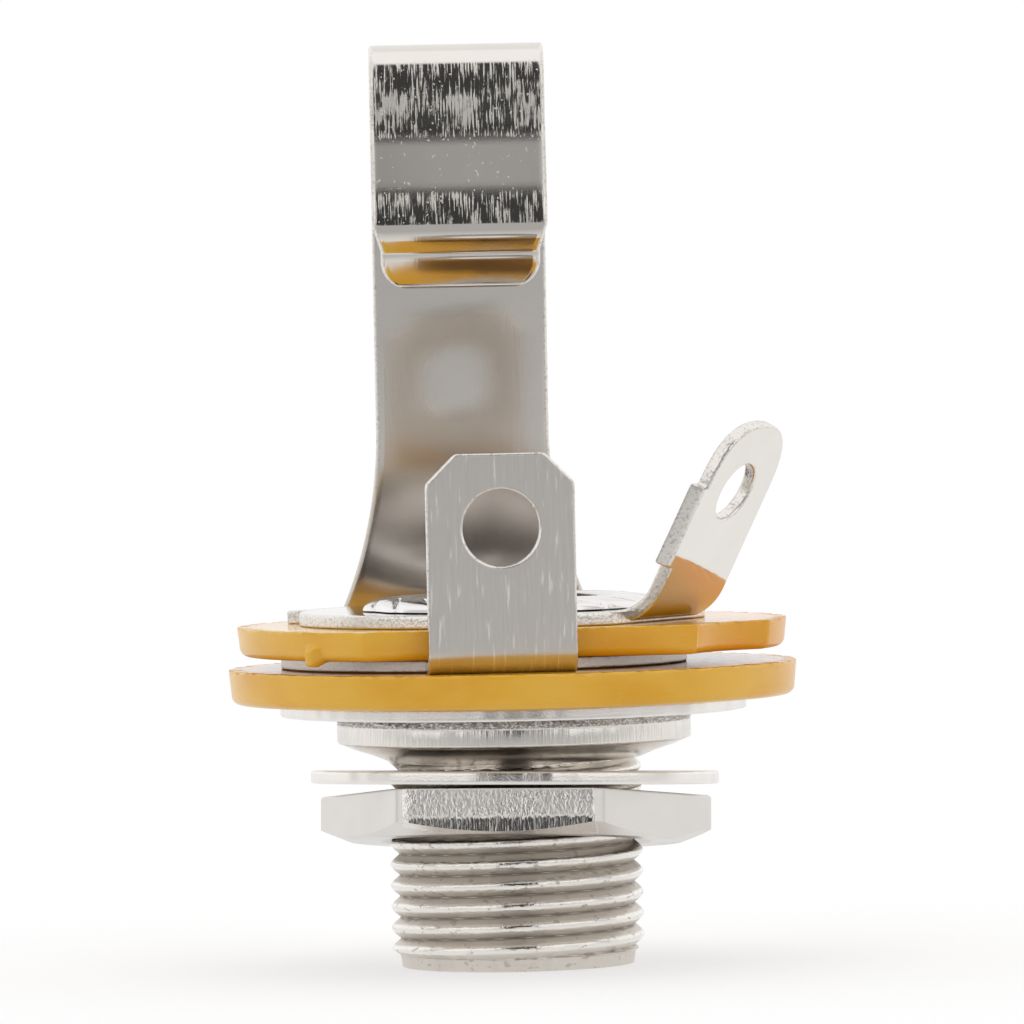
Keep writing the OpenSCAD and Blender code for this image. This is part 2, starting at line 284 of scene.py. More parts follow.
mouth_in = bore_r + mouth_r * (1 - np.sin(mouth_turn))
mouth_z = rim_top - mouth_r * (1 - np.cos(mouth_turn))

around = np.ones_like(turn)
bushing_r = np.concatenate([
    np.array([[bore_r], [bore_r + bore_chamfer], [bore_r + 0.7]]) * around,
    thread,
    np.array(cone_r)[:, None] * around,
    edge_r * around,
    tear_r,
    np.array([[flange_r - 0.5], [barrel_r], [barrel_r], [barrel_r], [rim_r - 0.6]]) * around,
    rim_across,
    mouth_in * around,
    np.full((len(bore_rows), 1), bore_r) * around])
bushing_z = np.concatenate([
    np.array([[foot_z + bore_chamfer], [foot_z], [foot_z]]) * around,
    thread_z * around,
    np.array(cone_z)[:, None] * around,
    edge_z * around,
    tear_z * around,
    np.array([[flange_z], [flange_z], [barrel_mid], [rim_z], [rim_z + 0.01]]) * around,
    rim_rise - rim_fold,
    mouth_z * around,
    np.array(bore_rows)[:, None] * around])
bushing_grid = np.stack([bushing_r * np.cos(turn), bushing_r * np.sin(turn), bushing_z], axis=-1)

bushing_nickel, place = start_finish("bushing_nickel")
x, y, z = place.parts()
out = place.node("ShaderNodeVectorMath", {"operation": "LENGTH"},
                 {0: place.node("ShaderNodeCombineXYZ", {}, {"X": x, "Y": y})}, output=1)
on_flange = out.band(6.4 * MM, 6.6 * MM)
on_rim = z.band((rim_z - 0.18) * MM, (rim_z + 0.02) * MM)
streaks = place.speckle((9, 9, 0.5))
pits = place.speckle((16, 16, 16), 3)
clouds = place.speckle((0.8, 0.8, 0.8))
on_tear = (z.band((flange_z - 0.42) * MM, (flange_z - 0.33) * MM)
           - z.band(flange_z * MM, (flange_z + 0.02) * MM))
torn = place.speckle((9, 9, 14), 3) * on_tear
on_thread = z.band(-0.1 * MM, -0.3 * MM)
dents = place.speckle((2.4, 2.4, 5), 3)
marks = on_flange * (1.3 * streaks + 1.4 * torn) + (1 - on_rim) * 0.10 * pits + on_thread * 1.1 * dents
bushing_colour = clouds.blend((0.82, 0.785, 0.74), (0.74, 0.705, 0.66))
# Painted shade: the pits of the torn band on the flange are coloured dark, standing in for the shade that
# falls in them.
bushing_colour = (torn.band(0.3, 0.6) * on_flange).blend(bushing_colour, (0.36, 0.335, 0.31))
# Painted shade: the thread's flanks below the crest are coloured darker than the crests, standing in for the
# darker surroundings they reflect; they are also made rougher.
on_flank = z.band(-0.2 * MM, -0.4 * MM) * out.band((thread_r - 0.04) * MM, (thread_r - 0.12) * MM)
bushing_colour = (0.9 * on_flank).blend(bushing_colour, (0.64, 0.595, 0.54))
# Painted shade: the thread's roots above the lead are coloured dark, where shade falls in them.
root_painted_shade = (z.band((foot_z + 0.6) * MM, (foot_z + 0.75) * MM) * on_thread
           * out.band((thread_r - 0.25) * MM, (thread_r - 0.34) * MM))
bushing_colour = (0.75 * root_painted_shade).blend(bushing_colour, (0.40, 0.365, 0.325))
bushing_colour = (on_thread * dents.band(0.6, 0.68)).blend(bushing_colour, (0.50, 0.45, 0.39))
bushing_colour = on_rim.blend(bushing_colour, (0.80, 0.775, 0.765))
bushing_rough = 0.10 + 0.10 * clouds + 0.10 * on_flange * streaks + 0.28 * on_flank
end_finish(place, bushing_colour, 1.0, bushing_rough, marks, 0.03)

bushing = add_piece("bushing_turned", bushing_nickel, [bushing_grid])
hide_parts("bushing")
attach(bushing, "frame")

# Backing washer
# A thin flat washer of nickel plated steel, punched from sheet. It sits on the flange, under the boards, and
# spreads the load of the riveting on them.


def section_loop(thick, edge, face_rows, wall_rows=4, turn_rows=4):
    """The section of stamped stock as a closed loop: along the upper face, round the outer border, back
    along the lower face and round the inner one. A point has a share of the way across, an offset added to
    that and a height, and both borders are rounded to the edge radius."""
    share = np.linspace(0, 1, face_rows)
    angle = np.linspace(0, pi / 2, turn_rows + 1)[1:]
    inset = edge * (1 - np.sin(angle))
    drop = edge * (1 - np.cos(angle))
    wall = np.linspace(thick / 2 - edge, edge - thick / 2, wall_rows + 2)[1:-1]
    border_inset = np.concatenate([inset, 0 * wall, inset[::-1]])
    border_height = np.concatenate([thick / 2 - drop, wall, drop[::-1] - thick / 2])
    face_inset = edge * (1 - 2 * share)
    return (np.concatenate([share, 1 + 0 * border_inset, share[::-1], 0 * border_inset])[:, None],
            np.concatenate([face_inset, -border_inset, face_inset[::-1], border_inset[::-1]])[:, None],
            np.concatenate([0 * share + thick / 2, border_height,
                            0 * share - thick / 2, border_height[::-1]])[:, None])


def stamped(inner, outer, loop):
    """Plane points and heights of a stamping between two borders of matching points: each column crosses
    from one border to the other and back below, by the shares and offsets of the section's loop."""
    share, offset, height = loop
    way = outer - inner
    length = np.hypot(way[:, 0], way[:, 1])
    reach = share * length + offset
    plane = inner + reach[..., None] * (way / length[:, None])
    return plane, height + 0 * reach


def circle(radius, angle):
    """Points at these radii and angles round the axis."""
    return np.stack([radius * np.cos(angle), radius * np.sin(angle)], axis=-1)


def washer_grid(rim_r, hole_r, thick, edge, seed, uneven):
    """A round stamping centred on the origin, with its rim uneven by random waves."""
    angle = np.linspace(0, 2 * pi, 360, endpoint=False)
    rim = rim_r - uneven + uneven * np.clip(waves(angle, seed, 4, 60, 0.5), -1, 1)
    plane, height = stamped(circle(hole_r, angle), circle(rim, angle), section_loop(thick, edge, 10))
    return np.concatenate([plane, height[..., None]], axis=-1)


hardware_nickel, place = start_finish("hardware_nickel")
pits = place.speckle((13, 13, 13), 3)
clouds = place.speckle((0.7, 0.7, 0.7))
hardware_colour = clouds.blend((0.86, 0.83, 0.795), (0.78, 0.75, 0.715))
end_finish(place, hardware_colour, 1.0, 0.16 + 0.12 * clouds, pits, 0.010)

stack_hole_r = 4.05
backing_low, backing_high = (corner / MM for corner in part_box("backing_washer"))
backing_grid = washer_grid(backing_high.x, stack_hole_r, backing_high.z - backing_low.z,
                           edge=0.09, seed=31, uneven=0.03)
backing_washer = add_piece("backing_washer_punched", hardware_nickel,
                           [backing_grid + (0, 0, (backing_low.z + backing_high.z) / 2)])
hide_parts("backing_washer")
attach(backing_washer, "frame")

# Lower insulating board
# A round board of amber phenolic paper laminate. Its edge is punched, so the lower part is cut smooth and
# the upper part breaks out ragged.


def board_grid(node, hole_r, outline, seed, drop_at=0, drop_h=0):
    """A board between its hole and an outline of radii by angle. Its lower border is rolled in to a radius
    where the punch went in, its wall tapers, and its top border is ragged by random waves. A drop of resin
    of this height is a flat-topped bell, exp(-t^4) both ways, low on the wall at its own angle."""
    low, high = (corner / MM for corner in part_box(node))
    thick = high.z - low.z
    roll_r, taper = 0.3, 0.12
    torn_h, torn_depth, ragged_depth = 0.1, 0.03, 0.04
    bell_w, bell_h, bell_up, sag = 0.3, 0.34, 0.2, 0.6
    angle = np.linspace(0, 2 * pi, 640, endpoint=False)
    loop = section_loop(thick, 0.04, 14, 24)
    plane, height = stamped(circle(hole_r, angle), circle(outline(angle), angle), loop)
    on_edge = loop[0] > 0.99
    above = height + thick / 2
    rolled = roll_r - np.sqrt(roll_r ** 2 - np.clip(roll_r - above, 0, roll_r) ** 2)
    torn_in = torn_depth + torn_depth * waves(angle, seed, 20, 160, 0.4)
    torn = np.clip(1 - (thick - above) / torn_h, 0, 1) * torn_in
    aside = ((angle - drop_at + pi) % (2 * pi) - pi) * high.x
    drop = np.exp(-(aside / bell_w) ** 4) * np.exp(-((above - bell_up) / bell_h) ** 4)
    inward = (rolled + taper * (1 - above / thick) + torn - drop_h * drop) * on_edge
    plane = plane - inward[..., None] * circle(1, angle)
    ragged_down = np.minimum(ragged_depth * waves(angle, seed + 2, 15, 150, 0.3), 0)
    ragged = ragged_down * (above > thick - 0.02) * on_edge
    hanging = sag * drop_h * drop * on_edge * (above < bell_up)
    return np.concatenate([plane, (height + ragged - hanging)[..., None] + (low.z + high.z) / 2], axis=-1)


lower_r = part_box("lower_insulator")[1].x / MM
board_hole_r = 4.5

phenolic, place = start_finish("phenolic")
x, _, z = place.parts()
fibres = place.speckle((3, 3, 9), 4)
clouds = place.speckle((0.22, 0.22, 0.5), 2)
warmth = x.band(5 * MM, 9.5 * MM) * z.band(4.0 * MM, 4.2 * MM)
amber = clouds.band(0.3, 0.7).blend((0.76, 0.37, 0.012), (0.82, 0.46, 0.045))
amber = (0.8 * warmth * clouds.band(0.3, 0.6)).blend(amber, (0.80, 0.28, 0.005))
amber = (0.15 * fibres.band(0.5, 0.8)).blend(amber, (0.86, 0.58, 0.17))
board_tops = [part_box(node)[1].z for node in ("lower_insulator", "upper_insulator")]
on_top = sum(z.band(top - 0.03 * MM, top - 0.01 * MM) * z.band(top + 0.1 * MM, top + 0.05 * MM)
             for top in board_tops)
end_finish(place, amber, 0.0, 0.20 + 0.10 * fibres - 0.14 * on_top, fibres, 0.0012)

lower_grid = board_grid("lower_insulator", board_hole_r, lambda angle: lower_r + 0 * angle, 41)
lower_board = add_piece("lower_insulator_board", phenolic, [lower_grid])
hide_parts("lower_insulator")
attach(lower_board, "frame")

# Insulating tube
# A short tube of brown vulcanised fibre, slipped over the barrel inside the stack. It keeps the ring of the
# tip contact off the bushing.
tube_low, tube_high = (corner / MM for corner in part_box("insulating_tube"))
tube_angle = np.linspace(0, 2 * pi, 120, endpoint=False)
tube_plane, tube_height = stamped(circle(stack_hole_r, tube_angle), circle(tube_high.x, tube_angle),
                                  section_loop(tube_high.z - tube_low.z, 0.05, 4, 8))
tube_grid = np.concatenate([tube_plane, tube_height[..., None] + (tube_low.z + tube_high.z) / 2], axis=-1)

fibre, place = start_finish("fibre")
strands = place.speckle((4, 4, 12), 4)
fibre_colour = strands.blend((0.17, 0.08, 0.035), (0.30, 0.16, 0.075))
end_finish(place, fibre_colour, 0.0, 0.6 + 0.2 * strands, strands, 0.02)

tube = add_piece("insulating_tube_wound", fibre, [tube_grid])
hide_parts("insulating_tube")
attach(tube, "frame")

# Tip contact
# One stamping of nickel plated spring sheet: a ring between the boards, a solder lug folded up in front, and
# an arm folded up behind, whose hook drops into the groove of the plug's tip.


def follow(stretches, along):
    """Place and heading of a sheet's middle line, as complex numbers, at distances along it. Each stretch is
    a length and the angle it turns through, so it is an arc: a point lies a chord away from the stretch's
    start, in the direction midway between the two headings."""
    lengths, turns = np.array(stretches).T
    starts = np.cumsum(lengths) - lengths
    headings = np.cumsum(turns) - turns

    def chord(which, step):
        half = turns[which] * step / lengths[which] / 2
        return step * np.sinc(half / pi) * np.exp(1j * (headings[which] + half))

    spans = chord(np.arange(len(lengths)), lengths)
    origins = np.cumsum(spans) - spans
    which = np.clip(np.searchsorted(starts, along, side="right") - 1, 0, None)
    step = along - starts[which]
    return origins[which] + chord(which, step), headings[which] + turns[which] * step / lengths[which]


def bent(plane, height, stretches, origin, azimuth):
    """A flat stamping, across and along, bent along the stretches. It starts at the origin and runs out in
    the direction of the azimuth, and height is measured square to the sheet."""
    place, heading = follow(stretches, plane[..., 1])
    place = place + height * 1j * np.exp(1j * heading)
    across = plane[..., 0]
    return np.stack([origin[0] + place.real * cos(azimuth) + across * sin(azimuth),
                     origin[1] + place.real * sin(azimuth) - across * cos(azimuth),
                     origin[2] + place.imag], axis=-1)


def rounded_outline(corners, cut, count):
    """A closed outline through corners, each rounded by a parabola that starts and ends its cut away from
    the corner, in equal steps."""
    corners = np.array(corners, float)
    cut = np.array(cut, float)[:, None]
    back = np.roll(corners, 1, axis=0) - corners
    ahead = np.roll(corners, -1, axis=0) - corners
    start = corners + cut * back / np.linalg.norm(back, axis=1, keepdims=True)
    end = corners + cut * ahead / np.linalg.norm(ahead, axis=1, keepdims=True)
    share = np.linspace(0, 1, 9)[:, None, None]
    curve = (1 - share) ** 2 * start + 2 * share * (1 - share) * corners + share ** 2 * end
    path = curve.transpose(1, 0, 2).reshape(-1, 2)
    path = np.vstack([path, path[:1]])
    steps = np.hypot(*np.diff(path, axis=0).T)
    length = np.concatenate([[0], np.cumsum(steps)])
    at = np.linspace(0, length[-1], count, endpoint=False)
    return np.stack([np.interp(at, length, path[:, axis]) for axis in (0, 1)], axis=-1)


def eyelet(outline, eye, eye_r, loop):
    """A stamping between a round eye and an outline that can be seen whole from the eye's centre."""
    way = outline - eye
    inner = eye + eye_r * way / np.hypot(way[:, 0], way[:, 1])[:, None]
    return stamped(inner, outline, loop)


def on_sheet(plane, loop, further=0):
    """Each point's place on the flat stock, this much further along it, with 1 on the cut edges."""
    face = np.abs(loop[2]) > np.abs(loop[2]).max() - 1e-6
    cut = np.broadcast_to(np.where(face, 0.0, 1.0)[..., None], plane.shape[:2] + (1,))
    return np.concatenate([plane + (0, further), cut], axis=-1)


sheet_h = 0.5
lug_stock = 100
tip_shift = -1.07
tip_turned = radians(4.7)
tip_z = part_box("tip_terminal")[0].z / MM
tip_mid = tip_z + sheet_h / 2
fold_at = 8.4
fold_mid_r = 0.35 + sheet_h / 2
ring_h = sheet_h - 0.01
ring_hole_r = 5.62
ring_r = 7.65
ring_edge = 0.07
lug_w = 5.5
lug_corner = 1.1
lug_cut = (0.05, 0.05, 0.12, 0.12, 0.12, 0.12)
lug_edge = 0.10
lug_eye_r = 1.42
lug_eye_down = 2.75
lug_len = 7.25
lug_tab = 1.8

ring_angle = np.linspace(0, 2 * pi, 240, endpoint=False)
ring_loop = section_loop(ring_h, ring_edge, 4)
ring_plane, ring_height = stamped(circle(ring_hole_r, ring_angle), circle(ring_r, ring_angle), ring_loop)
ring_grid = np.stack([tip_shift + ring_plane[..., 0], ring_plane[..., 1], tip_mid + ring_height], axis=-1)

lug_bends = [(lug_tab, 0), (fold_mid_r * pi / 2, pi / 2), (lug_len, 0)]
lug_top = sum(length for length, turned in lug_bends)
lug_corners = [(-lug_w / 2, 0), (lug_w / 2, 0),
               (lug_w / 2, lug_top - lug_corner), (lug_w / 2 - lug_corner, lug_top),
               (lug_corner - lug_w / 2, lug_top), (-lug_w / 2, lug_top - lug_corner)]
lug_loop = section_loop(sheet_h, lug_edge, 64)
lug_plane, lug_height = eyelet(rounded_outline(lug_corners, lug_cut, 420),
                               np.array([0, lug_top - lug_eye_down]), lug_eye_r, lug_loop)
front = tip_turned - pi / 2
lug_start = (tip_shift + (fold_at - lug_tab) * cos(front), (fold_at - lug_tab) * sin(front), tip_mid)
lug_grid = bent(lug_plane, lug_height, lug_bends, lug_start, front)

joints = {joint["name"]: joint for joint in frame["record"]["behaviour"]["joints"]}
flex = joints["tip_flex"]
root_x, root_y = (metres / MM for metres in flex["pos_m"][:2])
rear = np.arctan2(-flex["axis"][0], flex["axis"][1])
arm_w = 6.65
arm_edge = 0.17
arm_tab = 1.6
flare_r = 18
flare_h = 8
root_turn = radians(99)
blade_len = 21.4
blade_twist = radians(2.1)
blade_bow = 0.08
top_r, top_turn = 1.4, radians(171)
drop_len = 1.5
slope_r, slope_turn = 1.45, radians(18)
slope_len = 2.3
knuckle_len = 1.1
lip_r, lip_turn = 1.1, radians(27.5)
lip_w, lip_len = 6.05, 0.5
crease_len = 0.17
crease_down, crease_up = radians(-15), radians(13.1)
tongue_len = 1.25
tongue_r = 1.15
arm_bends = [(arm_tab, 0), (fold_mid_r * root_turn, root_turn), (blade_len, 0),
             (top_r * top_turn, top_turn), (drop_len, 0), (slope_r * slope_turn, -slope_turn),
             (slope_len, 0), (knuckle_len, slope_turn), (lip_r * lip_turn, lip_turn), (lip_len, 0),
             (crease_len, crease_down), (crease_len, crease_up), (tongue_len, 0)]
arm_steps = (6, 22, 70, 44, 10, 10, 14, 12, 14, 6, 5, 5, 40)
arm_ends = np.cumsum([length for length, turned in arm_bends])
root_end, blade_end, top_end, drop_end, slope_from, slope_to, knuckle_to = arm_ends[1:8]
lip_end, arm_end = arm_ends[9], arm_ends[-1]
arm_along = np.concatenate([end - length * np.linspace(1, 0, steps, endpoint=False)
                            for (length, turned), end, steps in zip(arm_bends, arm_ends, arm_steps)])
tip_round = arm_end - sheet_h / 2 * (1 - np.sin(np.linspace(0, pi / 2, 7)))
arm_along = np.concatenate([arm_along[arm_along < tip_round[0] - 0.02], tip_round])
flare_at = np.clip(root_end + flare_h - arm_along, 0, flare_h)
narrowing = np.clip((arm_along - knuckle_to) / (lip_end - knuckle_to), 0, 1)
corner_at = np.clip(arm_along - arm_end + tongue_r, 0, tongue_r)
half_w = (arm_w / 2 + flare_r - np.sqrt(flare_r ** 2 - flare_at ** 2) - narrowing * (arm_w - lip_w) / 2
          - (tongue_r - np.sqrt(tongue_r ** 2 - corner_at ** 2)))
arm_loop = section_loop(sheet_h, arm_edge, 36, 2, 5)
arm_borders = [np.stack([side * half_w, arm_along], axis=-1) for side in (-1, 1)]
arm_plane, arm_height = stamped(*arm_borders, arm_loop)
past_round = np.clip((arm_along - tip_round[0]) / (sheet_h / 2), 0, 1)
thinning = np.sqrt(1 - past_round ** 2)
thinning[0] = 0
arm_start = (root_x - arm_tab * cos(rear), root_y - arm_tab * sin(rear), tip_mid)
blade_share = np.clip((arm_along - root_end) / (blade_end - root_end), 0, 1)
twist = tan(blade_twist) * np.sin(pi * np.clip(blade_share * 1.25, 0, 1)) ** 0.6
bow = blade_bow * np.sin(pi * blade_share)
arm_set = -arm_plane[..., 0] * twist - bow
arm_grid = bent(arm_plane, arm_height * thinning + arm_set, arm_bends, arm_start, rear)

contact_nickel, place = start_finish("contact_nickel")
sheet = place.node("ShaderNodeAttribute", {"attribute_name": "sheet"}, {}, output=1)
_, along, cut = sheet.parts()
grain = sheet.speckle((14, 0.35, 0), 2)
streak = sheet.speckle((6, 0.5, 0), 2)
pits = place.speckle((8, 8, 8), 3)
clouds = place.speckle((0.6, 0.6, 0.6))
on_lug = along.band((lug_stock - 2) * MM, (lug_stock - 1) * MM)
on_tip = along.band(-lug_stock / 2 * MM, (10 - lug_stock / 2) * MM)
on_blade = along.band((blade_end + 1.5) * MM, (blade_end - 0.5) * MM) * on_tip
fold_front = along.band((blade_end + 3.15) * MM, (blade_end + 3.4) * MM)
slope_top = along.band((slope_from - 0.05) * MM, (slope_from + 0.15) * MM)
slope_foot = along.band((slope_to - 0.15) * MM, (slope_to + 0.15) * MM)
knuckle_end = along.band((knuckle_to - 0.02) * MM, (knuckle_to + 0.06) * MM)
rubbed = fold_front - slope_top + slope_foot - knuckle_end
satin = (along.band((slope_from - 0.35) * MM, (slope_from + 0.5) * MM)
         * along.band((slope_to + 0.4) * MM, (slope_to - 0.5) * MM))
drop_middle = (along.band(top_end * MM, (top_end + 0.5) * MM)
               * along.band((drop_end + 0.3) * MM, (drop_end - 0.3) * MM))
patches = sheet.speckle((0.8, 0.6, 0), 2).band(0.42, 0.62) * drop_middle
clumps = sheet.speckle((1.7, 1.3, 0), 2) - 0.5
scratch = (sheet.speckle((17, 1.0, 0), 4) + 0.14 * patches + 0.4 * clumps).band(0.50, 0.82) * rubbed
mottle = sheet.speckle((22, 5, 0), 2) * rubbed
on_foot = along.band((root_end + 8) * MM, (root_end + 4) * MM) * on_blade
lug_score_and_glint = sheet.speckle((7, 0.7, 0), 2).band(0.58, 0.72) * on_lug
specks = place.speckle((9, 6, 6), 1).band(0.71, 0.76) * (satin + rubbed)
on_cut = cut.band(0.3 * MM, 0.7 * MM)
contact_colour = clouds.blend((0.80, 0.765, 0.72), (0.74, 0.705, 0.66))
contact_colour = (0.55 * on_cut * pits.band(0.52, 0.7)).blend(contact_colour, (0.35, 0.33, 0.31))
# Painted shade: the lowest part of the arm, above its fold, is coloured darker, standing in for the dark
# things it reflects there; it is also made rougher.
contact_colour = (0.7 * on_foot).blend(contact_colour, (0.60, 0.55, 0.50))
# Painted glint: the score lines on the tip's lug are real scoring, and their near white colour stands in for
# the light they catch.
contact_colour = lug_score_and_glint.blend(contact_colour, (0.97, 0.95, 0.92))
contact_rough = (0.055 + 0.03 * clouds + on_blade * (0.01 + 0.04 * streak)
                 + on_lug * (1 - on_cut) * (0.30 + 0.10 * streak)
                 + 0.25 * satin + 0.5 * scratch + 0.06 * mottle + 0.11 * on_foot + 0.4 * specks
                 + 0.1 * lug_score_and_glint + 0.15 * on_cut)
relief = ((0.09 + 0.4 * on_lug) * grain + 0.14 * on_blade * sheet.speckle((26, 10, 0), 2)
          + (0.10 + 1.5 * on_lug) * streak + (2.4 - 1.8 * on_lug) * on_cut * pits + 1.1 * scratch
          + specks)
end_finish(place, contact_colour, 1.0, contact_rough, relief, 0.006, Anisotropic=0.5)

tip_contact = add_piece("tip_contact_stamped", contact_nickel, [ring_grid, lug_grid, arm_grid],
                        [on_sheet(ring_plane, ring_loop), on_sheet(lug_plane, lug_loop, lug_stock),
                         on_sheet(arm_plane, arm_loop)],
                        closed_ends=False)
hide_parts("tip_terminal", "tip_spring")
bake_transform(tip_contact)

# Upper insulating board
# The second phenolic board holds the tip contact's ring down. It is punched with a flat beside the tip's
# lug, one beside the arm and a shallow relief under the sleeve's lug, and a drop of resin hangs on its wall.
upper_r = 10.35
flat_gap = 0.05
front_flat = fold_at - flat_gap + tip_shift * sin(tip_turned)
rear_flat = root_x * cos(rear) + root_y * sin(rear) - flat_gap
relief_turned = radians(-35)
relief_r = 6.3
relief_depth = 0.75
relief_at = upper_r - relief_depth + relief_r
resin_turned = radians(-135.5)
resin_h = 0.38


def upper_outline(angle):
    """The nearest border in each direction: the round, a flat at its distance over the cosine, or the near
    side of the relief's circle."""
    def flat(distance, azimuth):
        facing = np.cos(angle - azimuth)
        return np.where(facing > 0.2, distance / np.maximum(facing, 0.2), upper_r)

    aside = relief_at * np.sin(angle - relief_turned)
    hit = (np.abs(aside) < relief_r) & (np.cos(angle - relief_turned) > 0)
    relief = relief_at * np.cos(angle - relief_turned) - np.sqrt(np.maximum(relief_r ** 2 - aside ** 2, 0))
    borders = [upper_r + 0 * angle, flat(front_flat, front), flat(rear_flat, rear),
               np.where(hit, relief, upper_r)]
    return np.minimum.reduce(borders)


upper_grid = board_grid("upper_insulator", board_hole_r, upper_outline, 51, resin_turned, resin_h)
upper_board = add_piece("upper_insulator_board", phenolic, [upper_grid])
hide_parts("upper_insulator")
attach(upper_board, "frame")

# Sleeve terminal
# A stamping of the same plated sheet: a ring under the bushing's rolled rim, a solder lug that slants up and
# out, and a small tab opposite that keeps the ring from turning while it is riveted.
sleeve_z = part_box("sleeve_terminal")[0].z / MM
sleeve_mid = sleeve_z + sheet_h / 2
sleeve_turned = radians(-29)
sleeve_r = 7.65
sleeve_fold_at = 5.75
sleeve_fold_mid_r = 1.95
sleeve_side_at = 6.4
sleeve_tab = 0.9
sleeve_lift = 0.004
sleeve_slant = 0.34
sleeve_eye_r = 1.15
sleeve_eye_down = 2.8
ring_shift = -0.35
rise = radians(61.6)
neck_w, neck_len = 4.8, 1.02
paddle_w, paddle_len = 5.3, 3.3
head_w, head_len = 4.8, 2.6
stub_w, stub_reach = 4.4, 8.5


def sleeve_outline(angle):
    """The ring's border: a round whose centre is shifted along X, cut straight under the lug's fold, with a
    square tab opposite."""
    from_lug = (angle - sleeve_turned + pi) % (2 * pi) - pi
    ring = ring_shift * np.cos(angle) + np.sqrt(sleeve_r ** 2 - (ring_shift * np.sin(angle)) ** 2)
    side = np.where(np.cos(from_lug) > 0.5, sleeve_side_at / np.maximum(np.cos(from_lug), 0.5), sleeve_r + 1)
    aside = np.maximum(np.abs(np.sin(from_lug)), 1e-6)
    facing = np.maximum(-np.cos(from_lug), 1e-6)
    stub = np.where(np.cos(from_lug) < 0, np.minimum(stub_reach / facing, stub_w / 2 / aside), 0)
    return np.maximum(np.minimum(ring, side), stub)


sleeve_angle = np.linspace(0, 2 * pi, 720, endpoint=False)
sleeve_loop = section_loop(sheet_h, ring_edge, 10)
sleeve_border = circle(sleeve_outline(sleeve_angle), sleeve_angle)
sleeve_plane, sleeve_height = stamped(circle(stack_hole_r, sleeve_angle), sleeve_border, sleeve_loop)
sleeve_ring = np.concatenate([sleeve_plane, sleeve_height[..., None] + sleeve_mid], axis=-1)

sleeve_bends = [(sleeve_tab, 0), (sleeve_fold_mid_r * rise, rise), (neck_len + paddle_len + head_len, 0)]
fold_end = sleeve_tab + sleeve_fold_mid_r * rise
paddle_at = fold_end + neck_len
head_at = paddle_at + paddle_len
sleeve_top = head_at + head_len
sleeve_corners = [(-paddle_w / 2, 0), (neck_w / 2, 0), (neck_w / 2, paddle_at), (paddle_w / 2, paddle_at),
                  (paddle_w / 2, head_at), (head_w / 2, head_at), (head_w / 2, sleeve_top),
                  (-paddle_w / 2, sleeve_top)]
sleeve_cut = (0.05, 0.05, 0.06, 0.06, 0.06, 0.06, 2.4, 2.6)
sleeve_lug_plane, sleeve_lug_height = eyelet(rounded_outline(sleeve_corners, sleeve_cut, 420),
                                             np.array([0, sleeve_top - sleeve_eye_down]),
                                             sleeve_eye_r, lug_loop)
slant = sleeve_slant * (sleeve_lug_height / sheet_h + 0.5)
sleeve_lug_plane[..., 0] += slant * (sleeve_lug_plane[..., 0] > head_w / 2 + 0.06)
sleeve_start = ((sleeve_fold_at - sleeve_tab) * cos(sleeve_turned),
                (sleeve_fold_at - sleeve_tab) * sin(sleeve_turned), sleeve_mid + sleeve_lift)
sleeve_lug = bent(sleeve_lug_plane, sleeve_lug_height, sleeve_bends, sleeve_start, sleeve_turned)

sleeve_terminal = add_piece("sleeve_terminal_stamped", contact_nickel, [sleeve_ring, sleeve_lug],
                            [on_sheet(sleeve_plane, sleeve_loop, -lug_stock),
                             on_sheet(sleeve_lug_plane, lug_loop, -lug_stock)])
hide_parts("sleeve_terminal")
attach(sleeve_terminal, "frame")

# Mounting washer
# A loose flat washer of nickel plated steel, punched from sheet. It lies between the panel and the nut, and
# leans on the thread while no panel is there to hold it.
nut_joint = joints["nut_turn"]
washer_r = 7.7
washer_hole_r = 4.92
washer_h = 0.5
side_lean = np.arctan2(nut_joint["axis"][0], nut_joint["axis"][2])
washer_lean = radians(2.7)


def leaning(grid, lean, z):
    """Points round the origin, leaned with the front up and to the side, at this height on the axis."""
    turned = np.array(Matrix.Rotation(side_lean, 3, "Y") @ Matrix.Rotation(-lean, 3, "X"))
    return grid @ turned.T + (0, 0, z)


washer_mid = (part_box("mounting_washer")[0].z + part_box("mounting_washer")[1].z) / 2 / MM
washer_flat = washer_grid(washer_r, washer_hole_r, washer_h, edge=0.12, seed=61, uneven=0.02)
mounting_washer = add_piece("mounting_washer_punched", hardware_nickel,
                            [leaning(washer_flat, washer_lean, washer_mid)])
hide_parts("mounting_washer")
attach(mounting_washer, "washer")

# Mounting nut
# A thin hexagon nut of nickel plated steel, sliced from bar. It is chamfered on its outer side, so the cone
# leaves a curved line on each flat, and it screws up under the washer.
nut_flat_r = 6.5
nut_h = 1.7
nut_mid = nut_joint["pos_m"][2] / MM
nut_lean = np.arcsin(nut_joint["axis"][1])
nut_turned = radians(-5.7)
nut_hole_r = 4.91
nut_entry = 0.2
nut_face_r = nut_flat_r - 0.2
nut_corner_r = nut_flat_r / cos(radians(30))
corner_worn = 0.12
chamfer_h = 0.48
chamfer_run = (nut_corner_r - nut_face_r) / chamfer_h
edge_drop, edge_middle, edge_inset = 0.08, 0.03, 0.1

